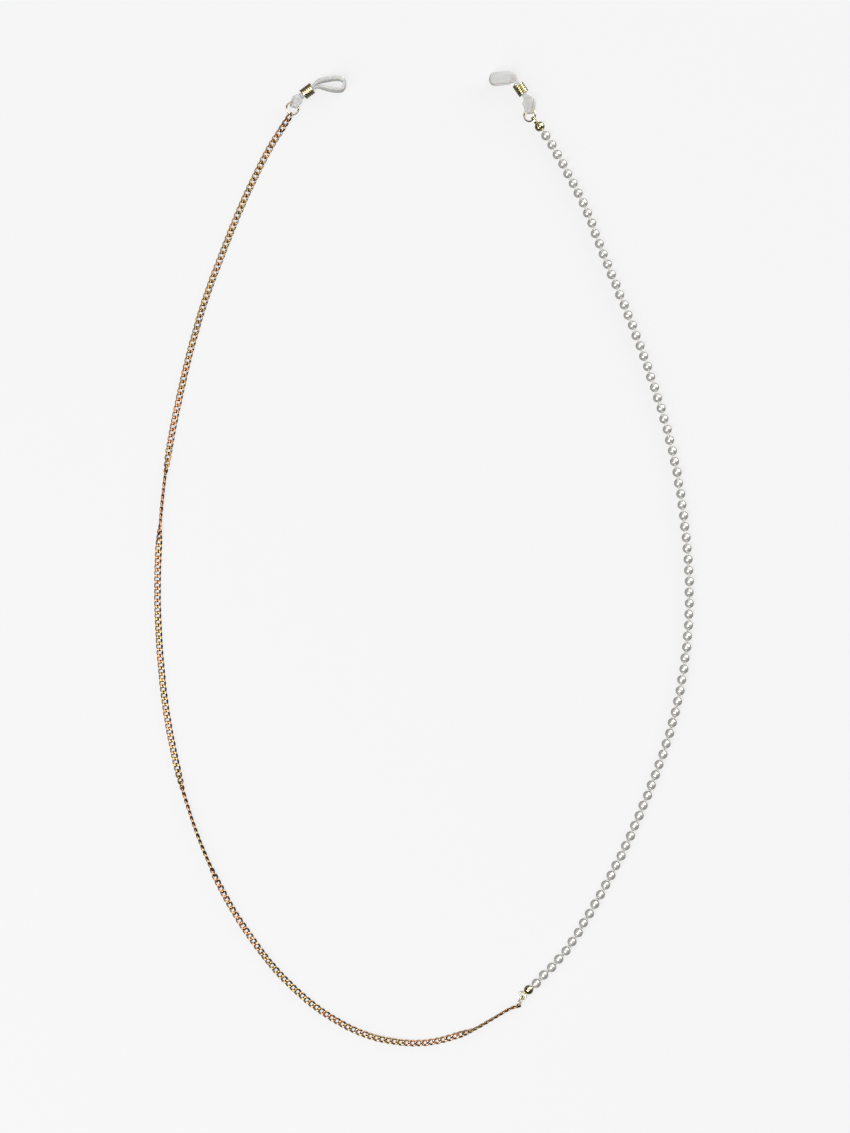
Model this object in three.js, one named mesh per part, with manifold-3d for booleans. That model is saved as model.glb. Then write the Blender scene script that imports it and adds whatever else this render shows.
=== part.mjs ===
// Eyeglasses chain strap. A curb chain runs down one side and a string of pearls down the other, and each
// end has a soft silicone band, with a sliding wire coil, that grips the tip of a spectacle temple.
// Millimetres, +Z up. The strap lies flat on z = 0 with its two ends towards +Y, and the origin is
// under the middle of its bounding box.
import * as THREE from "three";
import { mergeVertices } from "three/addons/utils/BufferGeometryUtils.js";
import Module from "manifold-3d";

const wasm = await Module();
wasm.setup();

// ---------------------------------------------------------------- driving dimensions
const JOINT_GAP = 0.3; // free space between two pieces that hinge on each other

const CHAIN = { links: 192, width: 2.2, thickness: 1.15, runs: 14 };
const LINK = { length: 2.7, width: 2.2, wire: 0.55, ringToMiddle: 0.42 };
const UPPER_LINK = { height: 1.98, roll: 58, pitch: 18 }; // it stands askew where it crosses its ring's wire

// Each pearl is a short belt between two cones that end at the knots' radius.
const PEARL = { count: 84, radius: 1.5, perRun: 7, beltRadius: 1.42, beltReach: 0.61, neckRadius: 0.62,
  neckReach: 1.37, stubRadius: 0.4 };

const RING = { radius: 2.05, wire: 0.5, cutDegrees: 12 };
const RING_CUTS = { left: 70, right: 200, join: 90 }; // where round each ring its cut is, in degrees
const TIP = { radius: 1.5, wall: 0.3, holeRadius: 0.35, seam: 0.16, seamShift: [0.45, 1.12], loopRadius: 1.2,
  loopWire: 0.44, loopWidth: 0.8, loopPlay: 0.22, loopArc: [-178, 158], ringFromMiddle: 3.3 };
const CRIMP = { outer: 0.7, inner: 0.3, length: 0.9 };

const COIL = { radius: 1.55, wire: 0.66, turns: 5.2, pitch: 0.7, height: 1.9 };
const BAND = { width: 3.9, thickness: 1.4, openingHeight: 2.3, neckWidth: 1.7, neckThickness: 0.84,
  neckOffset: 0.5, backWidth: 3.8, ringWidth: 2.3, ringThickness: 1.0, ringOpening: 1.2, ringPlay: 0.7,
  chamfer: 0.22 };
const NOSE = { length: 2.0, least: 0.4 }; // the tip's width rounds off over this length, to this share
const BAND_GROWTH = { tip: 2.6, ring: 1.2 }; // how far past the neck the strip takes to reach its full size
const RING_TAPER = [0.5, -0.8]; // the strip narrows between these distances short of the jump ring's wire and past it
const BAND_RISE = 2.5; // how far past the neck the band takes to reach the height of its ring or tip
const BAND_TWIST = { from: -1.5, pastNeck: 0.8, shortOfRing: 0.5 };

// One side of each opening, from the neck to the band's end: [share of the way, share of the full height].
const RING_OUTLINE = [[0.34, 0.93], [0.75, 1], [0.93, 0.75]];
const TIP_OUTLINE = [[0.36, 0.82], [0.66, 1], [0.878, 0.93], [0.985, 0.45]];

// Where each end's coil sits, which way its axis points (degrees from +X), how far the band reaches from
// the coil to the jump ring's wire and to the tip, and how it bends and twists on the way.
const LEFT_END = { x: -37.9, y: 152.7, heading: 36, neck: [-2.6, 2.8], toRing: 5.6, toTip: 13.3,
  ringBend: 40, tipBend: -38, ringTwist: -20, tipTwist: 98, ringHeight: 2.12, tipHeight: 2.32 };
const RIGHT_END = { x: 31.7, y: 153.5, heading: 124, neck: [-2.9, 2.9], toRing: 7.35, toTip: 12.1,
  ringBend: -34, tipBend: 61, ringTwist: 30, tipTwist: 0, ringHeight: 2.28, tipHeight: 2.58 };
const BEND_LENGTH = { ring: 4.5, tip: 2.6 }; // how much of the band each of its two bends takes

// The ring that joins chain and pearls leans on the table.
const JOIN_RING = { x: 31.4, y: -144.85, height: 2.27, heading: 66, lean: 76 };
const JOIN_LINK_HEIGHT = 1.1; // where the chain's last link takes hold of it
const LOWER_TIP = { x: 34.3, y: -141.05, height: 1.55, heading: -137.7 };

// The way from the upper bead tip to its ring, how high its shell lies, and how it is rolled.
const UPPER_TIP = { heading: 134, height: 1.55, roll: 70 };

// The way the chain lies, from the left ring down and round to the join, and the pearls from the right
// end down to the join. Each is a smooth curve through these points.
const CHAIN_ROUTE = [[-43.5, 145.05], [-48.5, 137.4], [-52.7, 130.0], [-59.4, 115.9], [-65.8, 100.1],
  [-71.7, 84.1], [-76.4, 67.8], [-80.0, 52.5], [-83.3, 35.8], [-85.5, 19.0], [-86.8, 2.0], [-87.1, -13.7],
  [-86.3, -30.7], [-84.6, -47.6], [-81.6, -64.3], [-77.7, -79.5], [-72.0, -95.5], [-64.7, -110.9],
  [-55.8, -125.1], [-45.7, -137.5], [-32.9, -148.5], [-17.9, -156.2], [-1.1, -158.6], [14.1, -155.0],
  [24.7, -149.3], [28.2, -147.2], [31.0, -146.5]];
const PEARL_ROUTE = [[39.95, 138.25], [43.6, 132.3], [46.9, 126.3], [52.8, 114.8], [57.5, 102.6], [62.0, 91.5],
  [66.9, 79.6], [71.5, 67.4], [75.7, 55.0], [79.5, 42.4], [82.5, 29.7], [84.6, 16.8], [86.1, 3.7],
  [86.8, -8.1], [86.6, -21.2], [85.3, -34.2], [83.0, -47.1], [79.6, -59.7], [75.3, -72.0], [70.4, -84.2],
  [65.1, -95.9], [59.5, -106.8], [53.1, -117.9], [46.3, -128.5], [36.8, -138.9]];

// How finely the round shapes are faceted.
const SIDES = { wire: 6, coilWire: 5, pearl: 8, crimp: 10, strip: 8 };
const STEPS = { runSide: 6, runEnd: 5, link: 16, ring: 20, coilTurn: 12, strip: 60, tipLoop: 14 };
const UP = new THREE.Vector3(0, 0, 1);

// ---------------------------------------------------------------- materials
const gold = (colour) => new THREE.MeshStandardMaterial({ color: colour, roughness: 0.28, metalness: 1 });
const ANTIQUE_GOLD = 0xc99a62;
const PALE_GOLD = 0xd9c48a;
const pearlWhite = () => new THREE.MeshStandardMaterial({ color: 0xf1efe9, roughness: 0.25, metalness: 0 });
const silicone = () => new THREE.MeshStandardMaterial({ color: 0xdedcd8, roughness: 0.45, metalness: 0 });

// ---------------------------------------------------------------- small helpers
const radians = THREE.MathUtils.degToRad;
const strap = new THREE.Group();

function addMesh(parent, name, geometry, material) {
  const mesh = new THREE.Mesh(geometry, material);
  mesh.name = name;
  parent.add(mesh);
  return mesh;
}

function twoDigits(number) {
  return String(number).padStart(2, "0");
}

// A smooth level curve through [x, y] points.
function smoothRoute(points) {
  const corners = points.map(([x, y]) => new THREE.Vector3(x, y, 0));
  const curve = new THREE.CatmullRomCurve3(corners, false, "catmullrom", 0.5);
  curve.arcLengthDivisions = 2000;
  return curve;
}

// The point that lies `along` mm down a route, `left` mm to its left and `up` mm over the table.
function onRoute(curve, along, left, up) {
  const share = THREE.MathUtils.clamp(along / curve.getLength(), 0, 1);
  const point = curve.getPointAt(share);
  const tangent = curve.getTangentAt(share);
  return new THREE.Vector3(point.x - tangent.y * left, point.y + tangent.x * left, up);
}

// Moves every corner of a geometry to place(corner, uv), keeping its faces.
function reshape(geometry, place) {
  const position = geometry.attributes.position;
  const uv = geometry.attributes.uv;
  for (let i = 0; i < position.count; i += 1) {
    const corner = new THREE.Vector3().fromBufferAttribute(position, i);
    const moved = place(corner, uv.getX(i), uv.getY(i));
    position.setXYZ(i, moved.x, moved.y, moved.z);
  }
  geometry.computeVertexNormals();
  return geometry;
}

// A round wire of the given diameter along a list of points.
function wire(points, diameter, sides, steps) {
  const section = new THREE.Shape();
  for (let i = 0; i < sides; i += 1) {
    const angle = (2 * Math.PI * (i + 0.5)) / sides;
    const corner = [(diameter / 2) * Math.cos(angle), (diameter / 2) * Math.sin(angle)];
    if (i === 0) section.moveTo(...corner);
    else section.lineTo(...corner);
  }
  const path = new THREE.CatmullRomCurve3(points);
  path.arcLengthDivisions = 1000;
  return new THREE.ExtrudeGeometry(section, { steps, bevelEnabled: false, extrudePath: path });
}

// A three.js geometry as a manifold solid, and back.
function solid(geometry) {
  const bare = geometry.clone();
  bare.deleteAttribute("normal");
  bare.deleteAttribute("uv");
  const merged = mergeVertices(bare, 1e-4);
  return new wasm.Manifold(new wasm.Mesh({
    numProp: 3,
    vertProperties: merged.attributes.position.array,
    triVerts: new Uint32Array(merged.index.array),
  }));
}

function geometryOf(manifold) {
  const mesh = manifold.getMesh();
  const geometry = new THREE.BufferGeometry();
  geometry.setAttribute("position", new THREE.BufferAttribute(mesh.vertProperties, 3));
  geometry.setIndex(new THREE.BufferAttribute(mesh.triVerts, 1));
  geometry.computeVertexNormals();
  return geometry;
}

// ---------------------------------------------------------------- curb chain
const chainRoute = smoothRoute(CHAIN_ROUTE);
const linkPitch = chainRoute.getLength() / CHAIN.links;

// A run of interlocked curb links, as one flat strip with round ends that follows the route.
function chainRunGeometry(firstLink, lastLink) {
  const from = firstLink * linkPitch + JOINT_GAP / 2;
  const to = lastLink * linkPitch - JOINT_GAP / 2;
  const half = CHAIN.width / 2;
  const outline = [];
  for (let i = 0; i <= STEPS.runSide; i += 1) {
    outline.push([THREE.MathUtils.lerp(from + half, to - half, i / STEPS.runSide), -half]);
  }
  for (let i = 1; i < STEPS.runEnd; i += 1) {
    const angle = -Math.PI / 2 + (Math.PI * i) / STEPS.runEnd;
    outline.push([to - half + half * Math.cos(angle), half * Math.sin(angle)]);
  }
  for (let i = STEPS.runSide; i >= 0; i -= 1) {
    outline.push([THREE.MathUtils.lerp(from + half, to - half, i / STEPS.runSide), half]);
  }
  for (let i = 1; i < STEPS.runEnd; i += 1) {
    const angle = Math.PI / 2 + (Math.PI * i) / STEPS.runEnd;
    outline.push([from + half + half * Math.cos(angle), half * Math.sin(angle)]);
  }
  const plan = new THREE.Shape(outline.map(([along, left]) => {
    const point = onRoute(chainRoute, along, left, 0);
    return new THREE.Vector2(point.x, point.y);
  }));
  return new THREE.ExtrudeGeometry(plan, { depth: CHAIN.thickness, bevelEnabled: false });
}

// Links 0 and links-1 are single end links, and the runs share out the ones between.
function addChainRuns() {
  const between = CHAIN.links - 2;
  for (let run = 0; run < CHAIN.runs; run += 1) {
    const firstLink = 1 + Math.round((run * between) / CHAIN.runs);
    const lastLink = 1 + Math.round(((run + 1) * between) / CHAIN.runs);
    const geometry = chainRunGeometry(firstLink, lastLink);
    addMesh(strap, `chain_run_${twoDigits(run + 1)}`, geometry, gold(ANTIQUE_GOLD));
  }
}

// One closed oval link of round wire, long along X, lying flat about its middle.
function linkGeometry() {
  const long = (LINK.length - LINK.wire) / 2;
  const wide = (LINK.width - LINK.wire) / 2;
  return reshape(new THREE.TorusGeometry(1, LINK.wire / 2, SIDES.wire, STEPS.link), (corner, u, v) => {
    const around = 2 * Math.PI * u;
    const across = 2 * Math.PI * v;
    const outward = new THREE.Vector2(Math.cos(around) / long, Math.sin(around) / wide).normalize();
    const out = (LINK.wire / 2) * Math.cos(across);
    return new THREE.Vector3(
      long * Math.cos(around) + out * outward.x,
      wide * Math.sin(around) + out * outward.y,
      (LINK.wire / 2) * Math.sin(across),
    );
  });
}

function addEndLinks() {
  const upper = addMesh(strap, "chain_upper_link", linkGeometry(), gold(ANTIQUE_GOLD));
  const down = chainRoute.getTangentAt(0);
  upper.position.copy(onRoute(chainRoute, LINK.ringToMiddle, 0, UPPER_LINK.height));
  upper.rotation.set(radians(UPPER_LINK.roll), radians(UPPER_LINK.pitch), Math.atan2(down.y, down.x), "ZYX");

  const lower = addMesh(strap, "chain_lower_link", linkGeometry(), gold(ANTIQUE_GOLD));
  const up = chainRoute.getTangentAt(1);
  const along = chainRoute.getLength() - LINK.ringToMiddle;
  lower.position.copy(onRoute(chainRoute, along, 0, JOIN_LINK_HEIGHT));
  lower.rotation.z = Math.atan2(up.y, up.x);
}

// ---------------------------------------------------------------- pearls
const pearlRoute = smoothRoute(PEARL_ROUTE);
const pearlPitch = pearlRoute.getLength() / (PEARL.count - 1);

// Half the outline of a run of pearls on its thread, as [radius, along] from one stub to the other.
function pearlProfile(firstPearl) {
  const reach = pearlPitch / 2 - JOINT_GAP / 2;
  const start = firstPearl * pearlPitch - reach;
  const profile = [[0, start], [PEARL.stubRadius, start]];
  for (let i = 0; i < PEARL.perRun; i += 1) {
    const middle = (firstPearl + i) * pearlPitch;
    profile.push(
      [PEARL.neckRadius, middle - PEARL.neckReach],
      [PEARL.beltRadius, middle - PEARL.beltReach],
      [PEARL.beltRadius, middle + PEARL.beltReach],
      [PEARL.neckRadius, middle + PEARL.neckReach],
    );
  }
  const end = (firstPearl + PEARL.perRun - 1) * pearlPitch + reach;
  profile.push([PEARL.stubRadius, end], [0, end]);
  return profile.map(([radius, along]) => new THREE.Vector2(radius, along));
}

function addPearlRuns() {
  for (let run = 0; run < PEARL.count / PEARL.perRun; run += 1) {
    const straight = new THREE.LatheGeometry(pearlProfile(run * PEARL.perRun), SIDES.pearl);
    const geometry = reshape(straight, (corner) => {
      const point = onRoute(pearlRoute, corner.y, -corner.x, PEARL.radius + corner.z);
      const past = corner.y - THREE.MathUtils.clamp(corner.y, 0, pearlRoute.getLength());
      const share = corner.y < 0 ? 0 : 1;
      return past === 0 ? point : point.addScaledVector(pearlRoute.getTangentAt(share), past);
    });
    addMesh(strap, `pearl_run_${twoDigits(run + 1)}`, geometry, pearlWhite());
  }
}

// ---------------------------------------------------------------- jump rings
// A split ring of round wire in the XY plane, cut at cutAngle degrees.
function jumpRingGeometry(cutAngle) {
  const points = [];
  for (let i = 0; i <= STEPS.ring; i += 1) {
    const angle = radians(cutAngle + RING.cutDegrees / 2 + ((360 - RING.cutDegrees) * i) / STEPS.ring);
    points.push(new THREE.Vector3(RING.radius * Math.cos(angle), RING.radius * Math.sin(angle), 0));
  }
  return wire(points, RING.wire, SIDES.wire, STEPS.ring);
}

// ---------------------------------------------------------------- bead tips
// A clamshell of two cups round a crimp, with a thread hole at -X and a closed loop at +X. The cups part
// along a seam, and stay joined by the hinge beside the thread hole.
function beadTipGeometry() {
  const inside = TIP.radius - TIP.wall;
  const shell = solid(new THREE.SphereGeometry(TIP.radius, 14, 10));
  const hollow = solid(new THREE.SphereGeometry(inside, 12, 8));
  const holeAxis = new THREE.CylinderGeometry(TIP.holeRadius, TIP.holeRadius, TIP.radius, 10);
  const hole = solid(holeAxis.rotateZ(Math.PI / 2).translate(-TIP.radius, 0, 0));
  const seamSize = 2.4 * TIP.radius;
  const seamBox = new THREE.BoxGeometry(seamSize, seamSize, TIP.seam);
  const seam = solid(seamBox.translate(...TIP.seamShift, 0));
  return geometryOf(shell.subtract(hollow).subtract(hole).subtract(seam).add(tipLoop()));
}

// The loop: a flat tongue from the shell curled right round, open just short of closing.
function tipLoop() {
  const middle = TIP.ringFromMiddle - (TIP.loopRadius - TIP.loopWire / 2 - RING.wire / 2 - TIP.loopPlay);
  const outer = TIP.loopRadius + TIP.loopWire / 2;
  const inner = TIP.loopRadius - TIP.loopWire / 2;
  const [from, to] = TIP.loopArc.map(radians);
  const profile = new THREE.Shape();
  profile.absarc(0, 0, outer, from, to, false);
  profile.absarc(0, 0, inner, to, from, true);
  const curl = new THREE.ExtrudeGeometry(profile, {
    depth: TIP.loopWidth, bevelEnabled: false, curveSegments: STEPS.tipLoop,
  });
  curl.translate(middle, 0, -TIP.loopWidth / 2);
  return solid(curl);
}

function crimpGeometry() {
  const { outer, inner, length } = CRIMP;
  const profile = [[inner, -length / 2], [outer, -length / 2], [outer, length / 2], [inner, length / 2],
    [inner, -length / 2]];
  const outline = profile.map(([radius, along]) => new THREE.Vector2(radius, along));
  return new THREE.LatheGeometry(outline, SIDES.crimp).rotateZ(Math.PI / 2);
}

// Adds a bead tip and its crimp. roll turns the loop about the tip's own axis.
function addBeadTip(name, middle, { heading, pitch, roll }) {
  const group = new THREE.Group();
  group.position.copy(middle);
  group.rotation.set(roll, -pitch, heading, "ZYX");
  addMesh(group, `${name}_bead_tip`, beadTipGeometry(), gold(PALE_GOLD));
  addMesh(group, `${name}_crimp_bead`, crimpGeometry(), gold(PALE_GOLD));
  strap.add(group);
}

// ---------------------------------------------------------------- temple bands and their coils
// The middle line of the closed silicone strip, in its own plane: x along the band, y across its openings.
function bandLoop(end) {
  const ringX = -end.toRing - RING.wire / 2 - BAND.ringPlay - BAND.ringThickness / 2;
  const ringY = (BAND.ringOpening + BAND.ringThickness) / 2;
  const tipX = end.toTip - BAND.thickness / 2;
  const tipY = (BAND.openingHeight + BAND.thickness) / 2;
  const [neckFrom, neckTo] = end.neck;
  const opening = (outline, from, to, height) => outline.map(([along, up]) => (
    [THREE.MathUtils.lerp(from, to, along), height * up]));
  const neck = [0, 1 / 3, 2 / 3, 1].map((along) => (
    [THREE.MathUtils.lerp(neckFrom, neckTo, along), BAND.neckOffset]));
  const side = [
    ...opening(RING_OUTLINE, neckFrom, ringX, ringY).reverse(),
    ...neck,
    ...opening(TIP_OUTLINE, neckTo, tipX, tipY),
  ];
  const back = side.map(([x, y]) => [x, -y]).reverse();
  const points = [...side, ...back].map(([x, y]) => new THREE.Vector3(x, y, 0));
  return new THREE.CatmullRomCurve3(points, true, "catmullrom", 0.5);
}

// How far a place on the band is from the neck: 0 in the neck, up to 1 over `length` beyond it.
function beyondNeck(end, x, length) {
  const past = Math.max(end.neck[0] - x, x - end.neck[1], 0);
  return THREE.MathUtils.smoothstep(past, 0, length);
}

// The strip's width and thickness at x.
function bandSection(end, x) {
  const towardsTip = x > end.neck[0];
  const share = beyondNeck(end, x, towardsTip ? BAND_GROWTH.tip : BAND_GROWTH.ring);
  const taper = THREE.MathUtils.smoothstep(-x, end.toRing - RING_TAPER[0], end.toRing - RING_TAPER[1]);
  const ringWidth = THREE.MathUtils.lerp(BAND.backWidth, BAND.ringWidth, taper);
  const fullWidth = towardsTip ? BAND.width : ringWidth;
  const fullThickness = towardsTip ? BAND.thickness : BAND.ringThickness;
  return {
    width: THREE.MathUtils.lerp(BAND.neckWidth, fullWidth, share),
    thickness: THREE.MathUtils.lerp(BAND.neckThickness, fullThickness, share),
  };
}

// The share of its width that the strip keeps near the tip, which is round seen from its broad side.
function noseShare(end, x) {
  const past = THREE.MathUtils.clamp((x - (end.toTip - NOSE.length)) / NOSE.length, 0, 1);
  return Math.max(NOSE.least, Math.sqrt(1 - past * past));
}

// The band's axis beyond the neck: it bends evenly by `bend` degrees over a length, then runs straight.
function bentAxis(distance, bend, length) {
  const curved = Math.min(distance, length);
  const turned = radians(bend) * (curved / length);
  const radius = length / radians(bend);
  const straight = distance - curved;
  return {
    x: radius * Math.sin(turned) + straight * Math.cos(turned),
    y: radius * (1 - Math.cos(turned)) + straight * Math.sin(turned),
    heading: turned,
  };
}

// The axis point, heading and twist at x, in the end's own frame: the coil at the origin, its axis along X.
function bandFrame(end, x) {
  const [neckFrom, neckTo] = end.neck;
  const tipward = THREE.MathUtils.smoothstep(x, BAND_TWIST.from, neckTo + BAND_TWIST.pastNeck);
  const ringward = THREE.MathUtils.smoothstep(-x, -neckFrom, end.toRing - BAND_TWIST.shortOfRing);
  const twist = radians(end.tipTwist) * tipward + radians(end.ringTwist) * ringward;
  const endHeight = x > 0 ? end.tipHeight : end.ringHeight;
  const rise = THREE.MathUtils.lerp(COIL.height, endHeight, beyondNeck(end, x, BAND_RISE));
  if (x > neckTo) {
    const bent = bentAxis(x - neckTo, end.tipBend, BEND_LENGTH.tip);
    return { x: neckTo + bent.x, y: bent.y, z: rise, heading: bent.heading, twist };
  }
  if (x < neckFrom) {
    const bent = bentAxis(neckFrom - x, -end.ringBend, BEND_LENGTH.ring);
    return { x: neckFrom - bent.x, y: bent.y, z: rise, heading: -bent.heading, twist };
  }
  return { x, y: 0, z: rise, heading: 0, twist };
}

// The soft strip: an eight-sided section carried round the closed loop, then bent and twisted along the axis.
function bandGeometry(end) {
  const loop = bandLoop(end);
  return reshape(new THREE.TorusGeometry(1, 0.4, SIDES.strip, STEPS.strip), (corner, u, v) => {
    const middle = loop.getPoint(u % 1);
    const tangent = loop.getTangent(u % 1);
    const { width, thickness } = bandSection(end, middle.x);
    const angle = 2 * Math.PI * (v + 0.5 / SIDES.strip);
    const flat = Math.abs(Math.cos(angle)) > Math.abs(Math.sin(angle));
    const out = Math.sign(Math.cos(angle)) * (thickness / 2 - (flat ? 0 : BAND.chamfer));
    const x = middle.x - out * tangent.y;
    const halfWidth = (width / 2) * noseShare(end, x);
    const side = Math.sign(Math.sin(angle)) * (halfWidth - (flat ? BAND.chamfer : 0));
    const across = middle.y + out * tangent.x;
    const frame = bandFrame(end, x);
    const level = across * Math.sin(frame.twist) + side * Math.cos(frame.twist);
    return new THREE.Vector3(
      frame.x - level * Math.sin(frame.heading),
      frame.y + level * Math.cos(frame.heading),
      frame.z + across * Math.cos(frame.twist) - side * Math.sin(frame.twist),
    );
  });
}

function coilGeometry() {
  const points = [];
  const steps = Math.round(COIL.turns * STEPS.coilTurn);
  for (let i = 0; i <= steps; i += 1) {
    const turn = i / STEPS.coilTurn;
    const angle = 2 * Math.PI * turn;
    const x = (turn - COIL.turns / 2) * COIL.pitch;
    points.push(new THREE.Vector3(x, COIL.radius * Math.cos(angle), COIL.radius * Math.sin(angle)));
  }
  return wire(points, COIL.wire, SIDES.coilWire, steps);
}

// The middle of the jump ring that a band hangs on, in the strap's frame.
function ringMiddle(end) {
  const frame = bandFrame(end, -end.toRing);
  const local = new THREE.Vector3(
    frame.x - RING.radius * Math.cos(frame.heading),
    frame.y - RING.radius * Math.sin(frame.heading),
    end.ringHeight,
  );
  local.applyAxisAngle(UP, radians(end.heading));
  return local.add(new THREE.Vector3(end.x, end.y, 0));
}

// How a band's jump ring leans: it turns about the band's own way there, as far as the band is twisted.
function ringTurn(end) {
  const way = radians(end.heading) + bandFrame(end, -end.toRing).heading;
  const axis = new THREE.Vector3(Math.cos(way), Math.sin(way), 0);
  return new THREE.Quaternion().setFromAxisAngle(axis, -radians(end.ringTwist));
}

// A band with its coil, and the jump ring that it hangs on.
function addEnd(side, end) {
  const group = new THREE.Group();
  group.position.set(end.x, end.y, 0);
  group.rotation.z = radians(end.heading);
  addMesh(group, `${side}_temple_band`, bandGeometry(end), silicone());
  const coil = addMesh(group, `${side}_slider_coil`, coilGeometry(), gold(PALE_GOLD));
  coil.position.z = COIL.height;
  strap.add(group);
  const ring = addMesh(strap, `${side}_jump_ring`, jumpRingGeometry(RING_CUTS[side]), gold(PALE_GOLD));
  ring.position.copy(ringMiddle(end));
  ring.quaternion.copy(ringTurn(end));
}

// ---------------------------------------------------------------- the join
function addJoin() {
  const ring = addMesh(strap, "join_ring", jumpRingGeometry(RING_CUTS.join), gold(PALE_GOLD));
  ring.position.set(JOIN_RING.x, JOIN_RING.y, JOIN_RING.height);
  ring.rotation.set(radians(JOIN_RING.lean), 0, radians(JOIN_RING.heading), "ZYX");
  const middle = new THREE.Vector3(LOWER_TIP.x, LOWER_TIP.y, LOWER_TIP.height);
  addBeadTip("lower", middle, { heading: radians(LOWER_TIP.heading), pitch: 0, roll: 0 });
}

// The upper bead tip rises from the table to the side of the leaning ring that it holds.
function addUpperTip() {
  const heading = radians(UPPER_TIP.heading);
  const flat = new THREE.Vector3(Math.cos(heading), Math.sin(heading), 0);
  const held = flat.clone().multiplyScalar(-RING.radius).applyQuaternion(ringTurn(RIGHT_END));
  held.add(ringMiddle(RIGHT_END));
  const pitch = Math.asin((held.z - UPPER_TIP.height) / TIP.ringFromMiddle);
  const middle = held.clone().addScaledVector(flat, -TIP.ringFromMiddle * Math.cos(pitch));
  middle.z = UPPER_TIP.height;
  addBeadTip("upper", middle, { heading, pitch, roll: radians(UPPER_TIP.roll) });
}

addEnd("left", LEFT_END);
addEnd("right", RIGHT_END);
addEndLinks();
addChainRuns();
addPearlRuns();
addUpperTip();
addJoin();

export default strap;
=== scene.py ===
import math
import random

import bpy
from mathutils import Euler, Matrix, Vector


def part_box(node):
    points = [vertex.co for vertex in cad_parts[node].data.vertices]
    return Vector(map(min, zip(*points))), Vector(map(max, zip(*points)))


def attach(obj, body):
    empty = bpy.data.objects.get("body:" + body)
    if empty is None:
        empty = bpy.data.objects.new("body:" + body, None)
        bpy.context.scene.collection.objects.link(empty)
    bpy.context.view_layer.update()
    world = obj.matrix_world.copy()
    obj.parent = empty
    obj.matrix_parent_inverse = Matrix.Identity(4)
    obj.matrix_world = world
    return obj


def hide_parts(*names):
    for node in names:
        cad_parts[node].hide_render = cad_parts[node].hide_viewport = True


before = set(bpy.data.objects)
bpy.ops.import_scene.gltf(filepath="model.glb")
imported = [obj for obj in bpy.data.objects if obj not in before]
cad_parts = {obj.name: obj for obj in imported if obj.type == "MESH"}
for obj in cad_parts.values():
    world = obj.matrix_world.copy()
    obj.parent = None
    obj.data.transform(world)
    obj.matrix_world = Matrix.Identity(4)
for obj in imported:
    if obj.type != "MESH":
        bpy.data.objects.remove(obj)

MM = 0.001
UP = Vector((0, 0, 1))
RANDOM = random.Random(7)
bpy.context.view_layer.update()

# ---------------------------------------------------------------- sizes
CHAIN_LINKS = 192
CHAIN_RUNS = 14
LINK_WIRE = 0.63 * MM
LINK_PLAY = 0.03 * MM  # the free space between one link's wire and the next
LINK_HALF_WIDTH = 0.8 * MM  # to the middle of the wire
LINK_TWIST = math.radians(-42)  # how far each end of a link is twisted out of its plane
LINK_FACE = 0.43 * MM  # above this height the wire is planed towards flat
LINK_PLANING = 0.6  # the share of what stands higher that is planed away
LINK_JITTER = 5  # degrees that a link may be turned from its neighbours
CHAIN_EDGE_HEIGHT = 1.13 * MM  # middle of the chain over the table where it stands on edge
CHAIN_FLAT_HEIGHT = 0.6 * MM  # and where it lies flat
CHAIN_START_HEIGHT = 1.98 * MM  # where it hangs on its upper ring
CHAIN_DROP = 6.0 * MM  # the length over which it comes down from there
ZIGZAG = 0.03 * MM  # how far a link may lie to one side of the chain's line

PEARL_COUNT = 84
PEARLS_PER_RUN = 7
PEARL_RADIUS = 1.5 * MM
PEARL_HOLE = 0.3 * MM
PEARL_ZIGZAG = 0.1 * MM
PEARL_LEAN = 6  # degrees
PEARL_LEAST_SIZE = 0.975
THREAD_RADIUS = 0.17 * MM
KNOT_RADIUS = 0.62 * MM
KNOT_STRAND = 0.2 * MM

RING_RADIUS = 2.05 * MM
RING_WIRE = 0.5 * MM
RING_CUT = math.radians(3)
RING_CUTS = {"left": math.radians(70), "right": math.radians(95), "join": math.radians(20)}
JOIN_LEAN = math.radians(76)
JOIN_HEADING = math.radians(66)

TIP_RADIUS = 1.5 * MM
TIP_WALL = 0.28 * MM
TIP_OPENING = math.radians(4)  # each cup of a bead tip stands open by this much
TIP_HOLE = 0.35 * MM
TIP_LOOP_RADIUS = 1.2 * MM
TIP_LOOP_WIDTH = 0.8 * MM
TIP_LOOP_THICKNESS = 0.44 * MM
TIP_LOOP_MIDDLE = 2.79 * MM  # from the middle of the cups to the middle of the loop
TIP_LOOP_ARC = (math.radians(-178), math.radians(170))
TIP_TO_RING = 3.3 * MM  # from the middle of the cups to the ring's wire
LOWER_TIP_HEADING = math.radians(-137.7)
UPPER_TIP_HEADING = math.radians(134)
UPPER_TIP_ROLL = math.radians(70)
CRIMP_RADIUS = 0.7 * MM
CRIMP_HOLE = 0.3 * MM
CRIMP_HALF = 0.45 * MM

COIL_RADIUS = 1.55 * MM
COIL_WIRE = 0.66 * MM
COIL_TURNS = 5.2
COIL_PITCH = 0.7 * MM
COIL_HEIGHT = 1.9 * MM

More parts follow.
